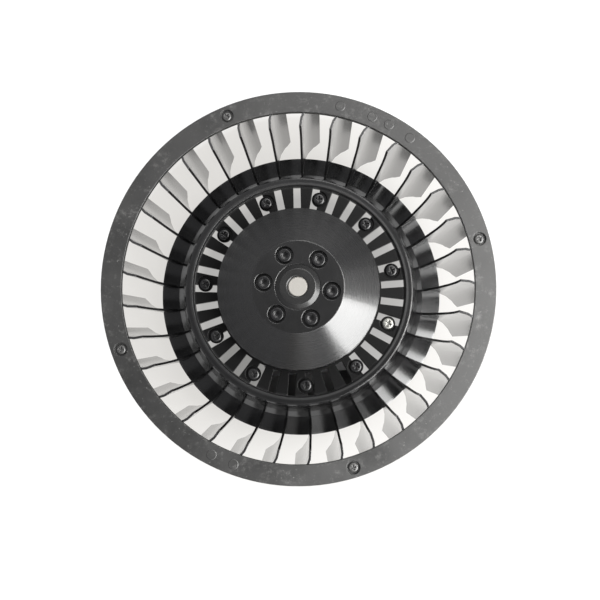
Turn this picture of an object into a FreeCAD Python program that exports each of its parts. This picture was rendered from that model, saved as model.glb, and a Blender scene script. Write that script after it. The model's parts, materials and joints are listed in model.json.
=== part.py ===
import FreeCAD, Part
import math
import os
import Sketcher

# Centrifugal fan: a 240 mm wheel of 33 swept blades, carried by the shell of an external rotor motor.
# Millimetres. +Z is the axis and points out of the air inlet, and z = 0 is the motor's mounting face.

SIZES = {
    # inlet ring
    "ring_face_height": 96.0,
    "ring_outer_radius": 120.0,
    "ring_width": 12.6,
    "ring_thickness": 4.0,
    "ring_skirt_depth": 8.0,
    "ring_skirt_wall": 2.0,
    # screws that hold the ring on its bridges
    "ring_screw_inset": 6.2,
    "ring_screw_lag": 12.569,
    "ring_screw_step": 8,
    "ring_screw_count": 4,
    "ring_screw_pocket_radius": 4.0,
    "ring_screw_pocket_depth": 1.9,
    "ring_screw_head_radius": 2.95,
    "ring_screw_head_height": 1.7,
    "ring_screw_radius": 1.5,
    "ring_screw_length": 10.0,
    "bridge_wall": 1.6,
    "bridge_depth": 7.0,
    "bridge_post_radius": 3.0,
    "bridge_post_depth": 11.0,
    # blades
    "blade_count": 33,
    "blade_wall": 1.5,
    "blade_phase": 1.84,
    "blade_sweep": 5.5,
    "blade_bend_flats": 4,
    "blade_mouth_step": 8.7,
    "blade_mouth_drop": 0.6,
    "blade_waist_step": 4.8,
    "blade_waist_height": 62.0,
    "blade_root_radius": 82.5,
    "blade_tip_inset": 2.4,
    "blade_tip_slant": 11.1,
    "blade_low_height": 21.0,
    "blade_corner_bevel": 3.0,
    # hub dish of the wheel, from its rim to the slotted crown
    "rim_radius": 94.0,
    "rim_height": 23.5,
    "foot_radius": 78.6,
    "foot_height": 30.3,
    "foot_bevel": 3.4,
    "dish_wall": 2.2,
    "lip_height": 63.0,
    "lip_outer_radius": 73.4,
    "lip_inner_radius": 67.6,
    "lip_bevel": 0.9,
    "crown_height": 60.0,
    "crown_thickness": 4.0,
    "hoop_wall": 1.5,
    "slot_width": 4.7,
    "slot_phase": 4.03,
    # screws that hold the wheel on the rotor's lugs
    "lug_screw_count": 11,
    "lug_screw_circle": 60.7,
    "lug_screw_phase": 12.36,
    "lug_screw_pocket_radius": 5.4,
    "lug_screw_pocket_depth": 2.0,
    "lug_screw_seat_radius": 4.7,
    "lug_screw_head_radius": 4.0,
    "lug_screw_head_height": 2.6,
    "lug_screw_radius": 2.0,
    "lug_screw_length": 7.6,
    "lug_width": 5.0,
    "lug_thickness": 6.0,
    "lug_end_radius": 3.8,
    # rotor shell
    "shell_top_height": 89.0,
    "shell_flat_radius": 28.7,
    "shell_edge_height": 76.0,
    "shell_outer_radius": 51.0,
    "shell_low_height": 9.0,
    "shell_wall": 4.0,
    "shell_top_thickness": 8.0,
    # hub on the shaft, and the screws that hold the shell on it
    "hub_spigot_radius": 14.0,
    "hub_nose_radius": 11.0,
    "hub_nose_rise": 1.6,
    "hub_flange_radius": 27.0,
    "hub_flange_thickness": 8.0,
    "hub_mouth_chamfer": 0.8,
    "hub_screw_count": 6,
    "hub_screw_circle": 21.1,
    "hub_screw_phase": 52.76,
    "hub_screw_pocket_radius": 5.6,
    "hub_screw_pocket_depth": 5.2,
    "hub_screw_head_radius": 4.25,
    "hub_screw_head_height": 5.0,
    "hub_screw_radius": 2.5,
    "hub_screw_length": 10.0,
    "hub_screw_key_width": 4.0,
    "hub_screw_key_depth": 2.5,
    # shaft and bearings
    "shaft_radius": 6.0,
    "shaft_low_height": 4.0,
    "shaft_nose_drop": 0.5,
    "shaft_chamfer": 0.5,
    "bearing_outer_radius": 14.0,
    "bearing_width": 8.0,
    "bearing_ring_wall": 2.2,
    "front_bearing_height": 61.6,
    "rear_bearing_height": 8.0,
    "washer_thickness": 0.6,
    "clip_outer_radius": 8.6,
    "clip_thickness": 1.0,
    "clip_groove_depth": 0.6,
    "clip_gap_width": 4.0,
    # stator
    "core_low_height": 26.0,
    "core_stack": 30.0,
    "core_outer_radius": 42.4,
    "core_yoke_radius": 24.0,
    "tooth_count": 12,
    "tooth_width": 7.0,
    "tooth_tip_depth": 3.0,
    "tooth_gap": 3.0,
    "insulator_thickness": 1.0,
    "coil_wall": 4.0,
    "coil_inner_radius": 25.0,
    "coil_outer_radius": 38.6,
    "air_gap": 0.6,
    "magnet_count": 8,
    "magnet_low_height": 22.0,
    "magnet_length": 38.0,
    "magnet_gap_angle": 3.0,
    # motor bracket and what it carries
    "bracket_radius": 50.0,
    "bracket_thickness": 6.0,
    "bracket_edge_bevel": 1.0,
    "tube_wall": 3.0,
    "tube_shoulder": 1.5,
    "tube_top_height": 70.0,
    "mount_hole_count": 4,
    "mount_hole_circle": 40.0,
    "mount_hole_radius": 2.1,
    "mount_hole_phase": 45.0,
    "board_radius": 44.0,
    "board_hole_radius": 18.5,
    "board_thickness": 1.6,
    "board_height": 10.0,
    "board_screw_count": 3,
    "board_screw_circle": 32.0,
    "board_screw_phase": 90.0,
    "board_screw_radius": 1.5,
    "board_screw_head_radius": 2.8,
    "board_screw_head_height": 2.0,
    "board_post_radius": 3.5,
    # cover beside the rotor, over the lead's connections
    "cover_turn": -85.0,
    "cover_width": 59.0,
    "cover_gap": 2.0,
    "cover_wall": 2.0,
    "cover_top_height": 30.0,
    "ear_thickness": 4.0,
    "ear_root_distance": 36.0,
    "ear_land_height": 2.0,
    "grommet_height": 17.0,
    "grommet_radius": 5.0,
    "grommet_flange_radius": 7.0,
    "grommet_flange_thickness": 2.0,
    "grommet_bore_radius": 3.2,
    # cap in the bearing tube
    "cap_thickness": 1.2,
    "cap_recess": 1.0,
    # cross recess of the screws, as shares of a head's radius or height
    "cross_arm_share": 0.55,
    "cross_width_share": 0.28,
    "cross_depth_share": 0.6,
    # clearances
    "slip": 0.3,
    "running_fit": 0.02,
}

# Where an outline stands before its dimensions place it, as a circle of corners.
START_CENTRE = 60
START_RADIUS = 20

doc = FreeCAD.newDocument("centrifugal_fan")


def make_sheet():
    """Spreadsheet with one named cell for each driving size."""
    table = doc.addObject("Spreadsheet::Sheet", "Sizes")
    for row, (name, value) in enumerate(SIZES.items(), start=1):
        table.set(f"A{row}", name)
        table.set(f"B{row}", str(value))
        table.setAlias(f"B{row}", name)
    doc.recompute()
    return table


sheet = make_sheet()


def size(name):
    """Value of a cell, as a plain number."""
    return float(getattr(sheet, name))


def whole(name):
    """Value of a cell that counts things."""
    return int(round(size(name)))


# Expressions name cells as words, and this adds the sheet's name before each of them.
def bound(text):
    words = []
    word = ""
    for letter in text + " ":
        if letter.isalnum() or letter == "_":
            word += letter
            continue
        words.append("Sizes." + word if word in SIZES else word)
        words.append(letter)
        word = ""
    return "".join(words).strip()


def new_body(label):
    body = doc.addObject("PartDesign::Body", label)
    body.Label = label
    return body


def origin_part(body, role):
    """The body's own plane or axis of that role, such as XY_Plane or Z_Axis."""
    for item in body.Origin.OriginFeatures:
        if item.Role == role:
            return item
    raise LookupError(role)


def new_sketch(body, name, plane="XY_Plane", lift=None, turn=None):
    """Empty sketch on one of the body's planes, lifted along and turned about the plane's normal."""
    sketch = body.newObject("Sketcher::SketchObject", name)
    sketch.AttachmentSupport = (origin_part(body, plane), [""])
    sketch.MapMode = "FlatFace"
    if lift:
        sketch.setExpression("AttachmentOffset.Base.z", bound(lift))
    if turn:
        sketch.setExpression("AttachmentOffset.Rotation.Angle", bound(f"({turn}) * 1deg"))
    return sketch


def bind(sketch, kind, *where, text):
    """Dimension whose value follows an expression of the sizes."""
    index = sketch.addConstraint(Sketcher.Constraint(kind, *where, 10.0))
    sketch.setExpression(f"Constraints[{index}]", bound(text))


def add_outline(sketch, corners):
    """Closed outline of straight sides, with each corner's two coordinates bound to expressions."""
    first = sketch.GeometryCount
    count = len(corners)
    rough = []
    for step in range(count):
        angle = 2 * math.pi * step / count
        across = START_CENTRE + START_RADIUS * math.cos(angle)
        rough.append(FreeCAD.Vector(across, START_CENTRE + START_RADIUS * math.sin(angle), 0))
    for step in range(count):
        sketch.addGeometry(Part.LineSegment(rough[step], rough[(step + 1) % count]), False)
    for step in range(count):
        following = first + (step + 1) % count
        sketch.addConstraint(Sketcher.Constraint("Coincident", first + step, 2, following, 1))
    for step, (across, along) in enumerate(corners):
        bind(sketch, "DistanceX", -1, 1, first + step, 1, text=across)
        bind(sketch, "DistanceY", -1, 1, first + step, 1, text=along)


def add_circle(sketch, radius, across="0", along="0"):
    """Circle with its radius and centre bound to expressions."""
    start = Part.Circle(FreeCAD.Vector(1, 1, 0), FreeCAD.Vector(0, 0, 1), START_RADIUS)
    index = sketch.addGeometry(start, False)
    bind(sketch, "Radius", index, text=radius)
    bind(sketch, "DistanceX", -1, 1, index, 3, text=across)
    bind(sketch, "DistanceY", -1, 1, index, 3, text=along)


def revolve(body, name, corners):
    """Outline of radius and height turned a full circle about the body's Z axis."""
    sketch = new_sketch(body, name + "_outline", "XZ_Plane")
    add_outline(sketch, corners)
    feature = body.newObject("PartDesign::Revolution", name)
    feature.Profile = (sketch, [""])
    feature.ReferenceAxis = (sketch, ["V_Axis"])
    feature.Angle = 360
    return feature


def pad(body, name, sketch, length, downward=False):
    feature = body.newObject("PartDesign::Pad", name)
    feature.Refine = False
    feature.Profile = (sketch, [""])
    feature.Reversed = downward
    feature.setExpression("Length", bound(length))
    return feature


def pocket(body, name, sketch, depth, upward=False):
    """Cut from the sketch's plane, downward unless told to go upward."""
    feature = body.newObject("PartDesign::Pocket", name)
    feature.Refine = False
    feature.Profile = (sketch, [""])
    feature.Reversed = upward
    feature.setExpression("Length", bound(depth))
    return feature


def around(body, name, feature, count):
    """Copies of a feature, evenly spaced about the body's Z axis."""
    pattern = body.newObject("PartDesign::PolarPattern", name)
    pattern.Refine = False
    pattern.Originals = [feature]
    pattern.Axis = (origin_part(body, "Z_Axis"), [""])
    pattern.Angle = 360
    pattern.setExpression("Occurrences", bound(count))
    body.Tip = pattern
    return pattern


def bevel_edges(body, name, places, width):
    """Chamfer on the full circles that lie at the given radii and heights."""
    doc.recompute()
    base = body.Tip
    chosen = []
    for index, edge in enumerate(base.Shape.Edges, start=1):
        if not isinstance(edge.Curve, Part.Circle) or abs(edge.Curve.Center.x) > 1e-6:
            continue
        for across, along in places:
            if math.isclose(edge.Curve.Radius, across, abs_tol=0.01):
                if math.isclose(edge.Curve.Center.z, along, abs_tol=0.01):
                    chosen.append(f"Edge{index}")
    feature = body.newObject("PartDesign::Chamfer", name)
    feature.Base = (base, chosen)
    feature.setExpression("Size", bound(width))
    return feature


def ring_solid(inner, outer, low, high):
    """Plain ring about the Z axis."""
    solid = Part.makeCylinder(outer, high - low, FreeCAD.Vector(0, 0, low))
    return solid.cut(Part.makeCylinder(inner, high - low, FreeCAD.Vector(0, 0, low)))


def turned(shape, degrees):
    """Copy of a shape turned about the Z axis."""
    copy = shape.copy()
    copy.rotate(FreeCAD.Vector(0, 0, 0), FreeCAD.Vector(0, 0, 1), degrees)
    return copy


def free_feature(label, shape):
    """Sub-part whose shape is worked out from the sizes, standing in the common frame."""
    item = doc.addObject("Part::Feature", label)
    item.Label = label
    item.Shape = shape
    item.Placement = FreeCAD.Placement()
    return item


def spot(circle, degrees, height):
    """Point on a circle about the Z axis."""
    angle = math.radians(degrees)
    return FreeCAD.Vector(circle * math.cos(angle), circle * math.sin(angle), height)


def angles(count, phase):
    """Directions of evenly spaced copies, in degrees from +X."""
    return [phase + step * 360 / count for step in range(count)]


def ring_screw_angles():
    """The ring's screws stand between two blades, and each is eight blades on from the last."""
    step = 360 / whole("blade_count") * whole("ring_screw_step")
    first = size("blade_phase") + size("ring_screw_lag")
    return [first - step * number for number in range(whole("ring_screw_count"))]


def make_inlet_ring():
    body = new_body("inlet_ring")
    inner = "ring_outer_radius - ring_width"
    under = "ring_face_height - ring_thickness"
    corners = [
        (inner, under),
        ("ring_outer_radius - ring_skirt_wall", under),
        ("ring_outer_radius - ring_skirt_wall", "ring_face_height - ring_skirt_depth"),
        ("ring_outer_radius", "ring_face_height - ring_skirt_depth"),
        ("ring_outer_radius", "ring_face_height"),
        (inner, "ring_face_height"),
    ]
    revolve(body, "ring", corners)
    turns = ring_screw_angles()
    for name, radius, depth in (
        ("pockets", "ring_screw_pocket_radius", "ring_screw_pocket_depth"),
        ("holes", "ring_screw_radius + slip", "ring_thickness"),
    ):
        sketch = new_sketch(body, f"ring_{name}_outline", lift="ring_face_height")
        for turn in turns:
            across = f"(ring_outer_radius - ring_screw_inset) * cos({turn:.6f}deg)"
            along = f"(ring_outer_radius - ring_screw_inset) * sin({turn:.6f}deg)"
            add_circle(sketch, radius, across, along)
        pocket(body, f"ring_{name}", sketch, depth)
    return body


def brim_height(radius):
    """Height of the brim's upper face, which slopes straight from the dish's foot to its rim."""
    run = size("rim_radius") - size("foot_radius")
    fall = size("foot_height") - size("rim_height")
    return size("foot_height") - fall * (radius - size("foot_radius")) / run


def mouth_radius():
    """Radius of the blades' inner edges at the air inlet."""
    return size("ring_outer_radius") - size("ring_width") - size("blade_mouth_step")


def blade_bend():
    """Radius and angle of the bend that takes a blade from its straight part to its tip."""
    tip = size("ring_outer_radius") - size("blade_tip_inset")
    sweep = math.radians(size("blade_sweep"))
    across = tip * math.cos(sweep) - mouth_radius()
    along = tip * math.sin(sweep)
    return (across**2 + along**2) / (2 * along), 2 * math.atan2(along, across)


def blade_plan(height):
    """Plan of a blade: radial up to the mouth's radius, then bent round to its tip in short flats."""
    bend, angle = blade_bend()
    half = size("blade_wall") / 2
    steps = whole("blade_bend_flats")
    sides = []
    for side in (half, -half):
        points = [FreeCAD.Vector(size("blade_root_radius"), side, height)]
        for step in range(steps + 1):
            turn = angle * step / steps
            across = mouth_radius() + (bend + side) * math.sin(turn)
            points.append(FreeCAD.Vector(across, (bend + side) * math.cos(turn) - bend, height))
        sides.append(points)
    outline = sides[0] + sides[1][::-1]
    return Part.Face(Part.makePolygon(outline + outline[:1]))


def tip_lean():
    """How far the blades' tips draw in for each millimetre down from the ring."""
    return size("blade_tip_slant") / (size("ring_face_height") - size("blade_low_height"))


def blade_profile():
    """Side view of a blade, with a curved inner edge and a step that clears the ring."""
    mouth = size("ring_face_height") - size("blade_mouth_drop")
    seat = size("ring_face_height") - size("ring_thickness")
    step = size("ring_outer_radius") - size("ring_width") - size("slip")
    tip = size("ring_outer_radius") - size("blade_tip_inset")
    low = size("blade_low_height")
    bevel = size("blade_corner_bevel")
    corner = tip - size("blade_tip_slant")
    root = size("blade_root_radius")
    half = size("dish_wall") / 2
    corners = [
        (root, brim_height(root) - half),
        (size("rim_radius") - half, size("rim_height") - half),
        (corner - bevel, low),
        (corner + tip_lean() * bevel, low + bevel),
        (tip, seat),
        (step, seat),
        (step, mouth),
        (mouth_radius(), mouth),
    ]
    points = [FreeCAD.Vector(across, 0, along) for across, along in corners]
    waist = FreeCAD.Vector(mouth_radius() - size("blade_waist_step"), 0, size("blade_waist_height"))
    inner_edge = Part.Arc(points[-1], waist, points[0]).toShape()
    return Part.Face(Part.Wire([*Part.makePolygon(points).Edges, inner_edge]))


def make_blade():
    """One blade: its plan swept down along the lean of its tip, and trimmed to its side view."""
    top = size("ring_face_height")
    depth = top - size("dish_wall")
    body = blade_plan(top).extrude(FreeCAD.Vector(-tip_lean() * depth, 0, -depth))
    room = size("ring_outer_radius")
    profile = blade_profile()
    profile.translate(FreeCAD.Vector(0, -room / 2, 0))
    return body.common(profile.extrude(FreeCAD.Vector(0, room, 0))).Solids[0]


def blade_angle(radius, height):
    """Direction of a blade's middle, from its root's, where it crosses a circle at a height."""
    start = mouth_radius() - tip_lean() * (size("ring_face_height") - height)
    bend = blade_bend()[0]
    reach = math.hypot(start, bend)
    opening = math.acos((radius**2 + start**2) / (2 * radius * reach))
    return math.degrees(opening - math.atan2(bend, start))


def make_bridges():
    """Arched walls between neighbouring blade tips, each with a post for one of the ring's screws."""
    top = size("ring_face_height") - size("ring_thickness")
    pitch = 360 / whole("blade_count")
    middle = size("ring_outer_radius") - size("ring_screw_inset")
    half = size("bridge_wall") / 2
    start = pitch - size("ring_screw_lag") + blade_angle(middle, top - size("bridge_depth") / 2)
    solids = []
    for turn in ring_screw_angles():
        base = FreeCAD.Vector(0, 0, top - size("bridge_depth"))
        axis = FreeCAD.Vector(0, 0, 1)
        wall = Part.makeCylinder(middle + half, size("bridge_depth"), base, axis, pitch)
        wall = wall.cut(Part.makeCylinder(middle - half, size("bridge_depth"), base))
        wall = turned(wall, turn + start)
        foot = spot(middle, turn, top - size("bridge_post_depth"))
        post = Part.makeCylinder(size("bridge_post_radius"), size("bridge_post_depth"), foot)
        hole_foot = spot(middle, turn, size("ring_face_height") - size("ring_screw_pocket_depth"))
        drop = size("ring_screw_length") + size("slip")
        hole = Part.makeCylinder(size("ring_screw_radius"), drop, hole_foot - axis * drop)
        solids.append(wall.fuse(post).cut(hole))
    return solids


def make_dish():
    """Hub dish of the wheel: sloped brim, tapered wall, raised lip and slotted crown."""
    body = new_body("wheel_dish")
    bore = "shell_outer_radius + slip"
    crown_low = "crown_height - crown_thickness"
    corners = [
        (bore, crown_low),
        ("lip_outer_radius - dish_wall", crown_low),
        ("foot_radius - dish_wall", "foot_height - dish_wall / 2"),
        ("rim_radius - dish_wall / 2", "rim_height - dish_wall"),
        ("rim_radius", "rim_height"),
        ("foot_radius", "foot_height"),
        ("lip_outer_radius", "lip_height"),
        ("lip_inner_radius", "lip_height"),
        ("lip_inner_radius", "crown_height"),
        (bore, "crown_height"),
    ]
    revolve(body, "dish", corners)
    lip = size("lip_height")
    bevel_edges(body, "foot_bevel", [(size("foot_radius"), size("foot_height"))], "foot_bevel")
    lip_edges = [(size("lip_outer_radius"), lip), (size("lip_inner_radius"), lip)]
    bevel_edges(body, "lip_bevel", lip_edges, "lip_bevel")

    sketch = new_sketch(body, "slot_outline", lift="crown_height", turn="slot_phase")
    inner = f"{bore} + hoop_wall"
    add_outline(
        sketch,
        [
            (inner, "-slot_width / 2"),
            ("lip_inner_radius - slip", "-slot_width / 2"),
            ("lip_inner_radius - slip", "slot_width / 2"),
            (inner, "slot_width / 2"),
        ],
    )
    slot = pocket(body, "slot", sketch, "crown_thickness + slip")
    around(body, "slots", slot, "blade_count")

    seat_lift = "crown_height - lug_screw_pocket_depth"
    places = (
        ("seat", "lug_screw_seat_radius", seat_lift),
        ("seat_pocket", "lug_screw_pocket_radius", "crown_height"),
        ("seat_hole", "lug_screw_radius + slip", seat_lift),
    )
    for name, radius, lift in places:
        sketch = new_sketch(body, f"{name}_outline", lift=lift, turn="lug_screw_phase")
        add_circle(sketch, radius, across="lug_screw_circle")
        if name == "seat":
            step = pad(body, name, sketch, "crown_thickness - lug_screw_pocket_depth", downward=True)
        elif name == "seat_pocket":
            step = pocket(body, name, sketch, "lug_screw_pocket_depth")
        else:
            step = pocket(body, name, sketch, "crown_thickness")
        around(body, f"{name}s", step, "lug_screw_count")
    return body


def make_blade_wheel():
    """Moulded wheel in one piece: dish, blades and the four bridges under the ring."""
    dish = make_dish()
    doc.recompute()
    blade = make_blade()
    copies = [turned(blade, turn) for turn in angles(whole("blade_count"), size("blade_phase"))]
    blades = free_feature("blade_set", Part.makeCompound(copies))
    bridges = free_feature("bridge_set", Part.makeCompound(make_bridges()))
    wheel = doc.addObject("Part::MultiFuse", "blade_wheel")
    wheel.Label = "blade_wheel"
    wheel.Refine = False
    wheel.Shapes = [dish, blades, bridges]
    return wheel


def make_rotor_shell():
    """Turned steel shell of the external rotor: flat nose, cone, skirt, and lugs for the wheel."""
    body = new_body("rotor_shell")
    slope = "(shell_top_height - shell_edge_height) / (shell_outer_radius - shell_flat_radius)"
    under = "shell_top_height - shell_top_thickness"
    inside = "shell_outer_radius - shell_wall"
    inside_edge = f"shell_edge_height - shell_wall + shell_wall * {slope} / 2"
    corners = [
        ("hub_spigot_radius + running_fit", under),
        (f"{inside} - ({under} - ({inside_edge})) / ({slope})", under),
        (inside, inside_edge),
        (inside, "shell_low_height"),
        ("shell_outer_radius", "shell_low_height"),
        ("shell_outer_radius", "shell_edge_height"),
        ("shell_flat_radius", "shell_top_height"),
        ("hub_spigot_radius + running_fit", "shell_top_height"),
    ]
    revolve(body, "shell", corners)

    lug_lift = "crown_height - crown_thickness"
    rib_turn = "slot_phase + 180 / blade_count"
    sketch = new_sketch(body, "lug_arm_outline", lift=lug_lift, turn=rib_turn)
    add_outline(
        sketch,
        [
            ("shell_outer_radius - shell_wall / 2", "-lug_width / 2"),
            ("lug_screw_circle", "-lug_width / 2"),
            ("lug_screw_circle", "lug_width / 2"),
            ("shell_outer_radius - shell_wall / 2", "lug_width / 2"),
        ],
    )
    arm = pad(body, "lug_arm", sketch, "lug_thickness", downward=True)
    around(body, "lug_arms", arm, "lug_screw_count")
    sketch = new_sketch(body, "lug_end_outline", lift=lug_lift, turn="lug_screw_phase")
    add_circle(sketch, "lug_end_radius", across="lug_screw_circle")
    end = pad(body, "lug_end", sketch, "lug_thickness", downward=True)
    around(body, "lug_ends", end, "lug_screw_count")

    cuts = (
        ("lug_bore", "lug_screw_radius", "lug_screw_circle", lug_lift, "lug_thickness", "lug_screw"),
        (
            "nose_pocket",
            "hub_screw_pocket_radius",
            "hub_screw_circle",
            "shell_top_height",
            "hub_screw_pocket_depth",
            "hub_screw",
        ),
        (
            "nose_hole",
            "hub_screw_radius + slip",
            "hub_screw_circle",
            "shell_top_height",
            "shell_top_thickness",
            "hub_screw",
        ),
    )
    for name, radius, circle, lift, depth, family in cuts:
        sketch = new_sketch(body, f"{name}_outline", lift=lift, turn=f"{family}_phase")
        add_circle(sketch, radius, across=circle)
        cut = pocket(body, name, sketch, depth)
        around(body, f"{name}s", cut, f"{family}_count")
    return body


def make_shaft_hub():
    """Hub on the shaft: a flange under the shell's nose, and a spigot that shows in its middle."""
    body = new_body("shaft_hub")
    under = "shell_top_height - shell_top_thickness"
    nose = "shell_top_height + hub_nose_rise"
    corners = [
        ("shaft_radius", f"{under} - hub_flange_thickness"),
        ("hub_flange_radius", f"{under} - hub_flange_thickness"),
        ("hub_flange_radius", under),
        ("hub_spigot_radius", under),
        ("hub_spigot_radius", "shell_top_height"),
        ("hub_nose_radius", nose),
        ("shaft_radius + hub_mouth_chamfer", nose),
        ("shaft_radius", f"{nose} - hub_mouth_chamfer"),
    ]
    revolve(body, "hub", corners)
    sketch = new_sketch(body, "hub_bore_outline", lift=under, turn="hub_screw_phase")
    add_circle(sketch, "hub_screw_radius", across="hub_screw_circle")
    bore = pocket(body, "hub_bore", sketch, "hub_flange_thickness")
    around(body, "hub_bores", bore, "hub_screw_count")
    return body


def make_motor_shaft():
    """Ground shaft, with a bevel at each end and a groove for its retaining ring."""
    body = new_body("motor_shaft")
    top = "shell_top_height + hub_nose_rise - shaft_nose_drop"
    groove_top = "rear_bearing_height - slip"
    groove_low = "rear_bearing_height - slip - clip_thickness"
    neck = "shaft_radius - clip_groove_depth"
    corners = [
        ("0", "shaft_low_height"),
        ("shaft_radius - shaft_chamfer", "shaft_low_height"),
        ("shaft_radius", "shaft_low_height + shaft_chamfer"),
        ("shaft_radius", groove_low),
        (neck, groove_low),
        (neck, groove_top),
        ("shaft_radius", groove_top),
        ("shaft_radius", f"{top} - shaft_chamfer"),
        ("shaft_radius - shaft_chamfer", top),
        ("0", top),
    ]
    revolve(body, "shaft", corners)
    return body


def make_bearing(label, low):
    """Shielded ball bearing, as one closed unit."""
    body = new_body(label)
    inner = "shaft_radius + running_fit"
    outer = "bearing_outer_radius"
    high = f"{low} + bearing_width"
    revolve(body, f"{label}_rings", [(inner, low), (outer, low), (outer, high), (inner, high)])
    return body


def make_bearing_spacer():
    body = new_body("bearing_spacer")
    low = "front_bearing_height + bearing_width + slip"
    high = "shell_top_height - shell_top_thickness - hub_flange_thickness"
    wall = "shaft_radius + running_fit + bearing_ring_wall"
    revolve(body, "spacer", [("shaft_radius", low), (wall, low), (wall, high), ("shaft_radius", high)])
    return body


def make_washer():
    """Preload washer between the tube's shoulder and the front bearing's outer ring."""
    body = new_body("preload_washer")
    low = "front_bearing_height - washer_thickness"
    inner = "bearing_outer_radius - bearing_ring_wall"
    outer = "bearing_outer_radius - slip"
    high = "front_bearing_height"
    revolve(body, "washer", [(inner, low), (outer, low), (outer, high), (inner, high)])
    return body


def make_shaft_clip():
    """Retaining ring in the shaft's groove, open at one side."""
    body = new_body("shaft_clip")
    low = "rear_bearing_height - slip - clip_thickness"
    inner = "shaft_radius - clip_groove_depth"
    high = "rear_bearing_height - slip"
    corners = [(inner, low), ("clip_outer_radius", low), ("clip_outer_radius", high), (inner, high)]
    revolve(body, "clip", corners)
    sketch = new_sketch(body, "clip_gap_outline", lift=high)
    corners = [
        ("0", "-clip_gap_width / 2"),
        ("clip_outer_radius + slip", "-clip_gap_width / 2"),
        ("clip_outer_radius + slip", "clip_gap_width / 2"),
        ("0", "clip_gap_width / 2"),
    ]
    add_outline(sketch, corners)
    pocket(body, "clip_gap", sketch, "clip_thickness")
    return body


# Distances of the lead cover's inner and outer faces from the axis. Its corners clear the wheel's dish.
COVER_INNER = "shell_outer_radius + cover_gap"
COVER_OUTER = "sqrt((foot_radius - dish_wall - cover_gap)^2 - (cover_width / 2)^2)"


def block_corners(inner, outer, half):
    """Corners of a block that lies across a sketch's horizontal axis, between two distances."""
    return [(inner, f"-{half}"), (outer, f"-{half}"), (outer, half), (inner, half)]


def make_bracket():
    """Die-cast motor bracket: mounting disc, bearing tube and posts for the circuit board."""
    body = new_body("motor_bracket")
    tube = "bearing_outer_radius + tube_wall"
    narrow = "bearing_outer_radius - tube_shoulder"
    corners = [
        ("bearing_outer_radius", "0"),
        ("bracket_radius", "0"),
        ("bracket_radius", "bracket_thickness"),
        (tube, "bracket_thickness"),
        (tube, "tube_top_height"),
        ("bearing_outer_radius", "tube_top_height"),
        ("bearing_outer_radius", "front_bearing_height - washer_thickness"),
        (narrow, "front_bearing_height - washer_thickness"),
        (narrow, "rear_bearing_height + bearing_width"),
        ("bearing_outer_radius", "rear_bearing_height + bearing_width"),
    ]
    revolve(body, "bracket", corners)
    top = (size("bracket_radius"), size("bracket_thickness"))
    bevel_edges(body, "bracket_bevel", [top], "bracket_edge_bevel")

    sketch = new_sketch(body, "post_outline", lift="bracket_thickness", turn="board_screw_phase")
    add_circle(sketch, "board_post_radius", across="board_screw_circle")
    post = pad(body, "post", sketch, "board_height - bracket_thickness")
    around(body, "posts", post, "board_screw_count")
    sketch = new_sketch(body, "post_bore_outline", lift="board_height", turn="board_screw_phase")
    add_circle(sketch, "board_screw_radius", across="board_screw_circle")
    bore = pocket(body, "post_bore", sketch, "board_height - bracket_thickness + slip")
    around(body, "post_bores", bore, "board_screw_count")

    sketch = new_sketch(body, "mount_hole_outline", lift="bracket_thickness", turn="mount_hole_phase")
    add_circle(sketch, "mount_hole_radius", across="mount_hole_circle")
    hole = pocket(body, "mount_hole", sketch, "bracket_thickness")
    around(body, "mount_holes", hole, "mount_hole_count")

    sketch = new_sketch(body, "ear_outline", turn="cover_turn")
    add_outline(sketch, block_corners("ear_root_distance", COVER_OUTER, "cover_width / 2"))
    pad(body, "ear", sketch, "ear_thickness")
    sketch = new_sketch(body, "land_outline", lift="ear_thickness", turn="cover_turn")
    room = "cover_wall + slip"
    land = block_corners(
        f"{COVER_INNER} + {room}", f"{COVER_OUTER} - ({room})", f"(cover_width / 2 - ({room}))"
    )
    add_outline(sketch, land)
    body.Tip = pad(body, "land", sketch, "ear_land_height")
    return body


def make_lead_cover():
    """Moulded cover on the bracket's ear, open below and with a hole for the grommet."""
    body = new_body("lead_cover")
    sketch = new_sketch(body, "cover_outline", lift="ear_thickness")
    add_outline(sketch, block_corners(COVER_INNER, COVER_OUTER, "cover_width / 2"))
    pad(body, "cover", sketch, "cover_top_height - ear_thickness")
    sketch = new_sketch(body, "hollow_outline", lift="ear_thickness")
    inside = block_corners(
        f"{COVER_INNER} + cover_wall", f"{COVER_OUTER} - cover_wall", "(cover_width / 2 - cover_wall)"
    )
    add_outline(sketch, inside)
    depth = "cover_top_height - ear_thickness - cover_wall"
    pocket(body, "hollow", sketch, depth, upward=True)
    sketch = new_sketch(body, "lead_hole_outline", "YZ_Plane", lift=COVER_OUTER)
    add_circle(sketch, "grommet_radius", along="grommet_height")
    pocket(body, "lead_hole", sketch, "cover_wall")
    body.setExpression("Placement.Rotation.Angle", bound("cover_turn * 1deg"))
    return body


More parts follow.
